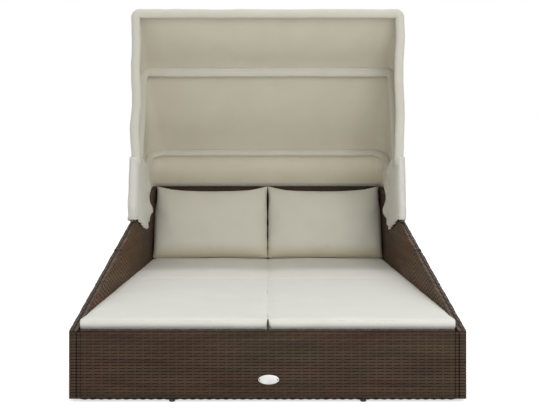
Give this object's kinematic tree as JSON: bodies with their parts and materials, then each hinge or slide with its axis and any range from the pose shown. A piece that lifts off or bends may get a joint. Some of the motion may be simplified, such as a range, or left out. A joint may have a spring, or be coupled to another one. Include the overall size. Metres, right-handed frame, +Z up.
{
  "type": "outdoor daybed with canopy",
  "caption": "Woven outdoor daybed with seat cushions, back pillows and a cloth hood on hoops that folds back on pivots above the arms.",
  "frame": {"origin": "on the floor under the middle of the bed", "axes": "+X to the right seen from the foot end, +Y towards the back panel, +Z up"},
  "size_m": [1.2194, 2, 1.4],
  "materials": {
    "weave": "satin",
    "frame_steel": "satin",
    "foot_plastic": "matte",
    "pivot_steel": "satin",
    "hoop_tube": "satin",
    "hood_cloth": "matte",
    "cushion_cloth": "matte",
    "pillow_cloth": "matte"
  },
  "bodies": {
    "bed": {"front_panel_weave": "weave", "back_panel_weave": "weave", "side_front_weave_left": "weave", "side_front_weave_right": "weave", "side_rear_weave_left": "weave", "side_rear_weave_right": "weave", "front_panel_frame": "frame_steel", "back_panel_frame": "frame_steel", "side_front_frame_left": "frame_steel", "side_front_frame_right": "frame_steel", "side_rear_frame_left": "frame_steel", "side_rear_frame_right": "frame_steel", "seat_deck_front": "frame_steel", "seat_deck_rear": "frame_steel", "centre_beam": "frame_steel", "centre_leg_left": "frame_steel", "centre_leg_right": "frame_steel", "foot_front_left": "foot_plastic", "foot_front_right": "foot_plastic", "foot_back_left": "foot_plastic", "foot_back_right": "foot_plastic", "foot_centre_left": "foot_plastic", "foot_centre_right": "foot_plastic", "foot_arm_front_left": "foot_plastic", "foot_arm_front_right": "foot_plastic", "foot_arm_middle_left": "foot_plastic", "foot_arm_middle_right": "foot_plastic", "foot_arm_rear_left": "foot_plastic", "foot_arm_rear_right": "foot_plastic", "pivot_bolt_left": "pivot_steel", "pivot_bolt_right": "pivot_steel", "pivot_nut_left": "pivot_steel", "pivot_nut_right": "pivot_steel", "pivot_washer_outer_left": "pivot_steel", "pivot_washer_outer_right": "pivot_steel", "pivot_washer_inner_left": "pivot_steel", "pivot_washer_inner_right": "pivot_steel", "pivot_bracket_left": "hoop_tube", "pivot_bracket_right": "hoop_tube", "hood_lower": "hood_cloth", "pivot_cover_left": "hood_cloth", "pivot_cover_right": "hood_cloth"},
    "rear_hoop": {"rear_hoop": "hoop_tube", "rear_hoop_pocket": "hood_cloth", "hood_back": "hood_cloth"},
    "middle_hoop": {"middle_hoop": "hoop_tube", "middle_hoop_pocket": "hood_cloth", "hood_roof": "hood_cloth"},
    "front_hoop": {"front_hoop": "hoop_tube", "front_hoop_pocket": "hood_cloth"},
    "seat_cushion_left": {"seat_cushion_left": "cushion_cloth"},
    "pillow_left": {"pillow_left": "pillow_cloth"},
    "seat_cushion_right": {"seat_cushion_right": "cushion_cloth"},
    "pillow_right": {"pillow_right": "pillow_cloth"}
  },
  "joints": [
    {"name": "rear_hoop_fold", "type": "hinge", "parent": "bed", "child": "rear_hoop", "pos_m": [0, 0.27, 0.52002], "axis": [-1, 0, 0], "range_deg": [0, 11.9], "deforming": ["hood_lower"]},
    {"name": "hood_fold", "type": "hinge", "parent": "rear_hoop", "child": "middle_hoop", "pos_m": [0, 0.27, 0.52002], "axis": [-1, 0, 0], "range_deg": [0, 32], "deforming": ["hood_back"]},
    {"name": "front_hoop_fold", "type": "hinge", "parent": "middle_hoop", "child": "front_hoop", "pos_m": [0, 0.27, 0.52002], "axis": [-1, 0, 0], "range_deg": [0, 13.8], "deforming": ["hood_roof", "pivot_cover_left", "pivot_cover_right"]},
    {"name": "seat_cushion_lift_left", "type": "slide", "parent": "bed", "child": "seat_cushion_left", "axis": [0, 0, 1], "range_m": [0, 0.02]},
    {"name": "pillow_slide_left", "type": "slide", "parent": "seat_cushion_left", "child": "pillow_left", "axis": [0, -0.9707, 0.2402], "range_m": [0, 0.2]},
    {"name": "seat_cushion_lift_right", "type": "slide", "parent": "bed", "child": "seat_cushion_right", "axis": [0, 0, 1], "range_m": [0, 0.02]},
    {"name": "pillow_slide_right", "type": "slide", "parent": "seat_cushion_right", "child": "pillow_right", "axis": [0, -0.9707, 0.2402], "range_m": [0, 0.2]}
  ],
  "couplings": [
    {"joint": "rear_hoop_fold", "follows": "hood_fold", "ratio": 0.37},
    {"joint": "front_hoop_fold", "follows": "hood_fold", "ratio": 0.43}
  ]
}
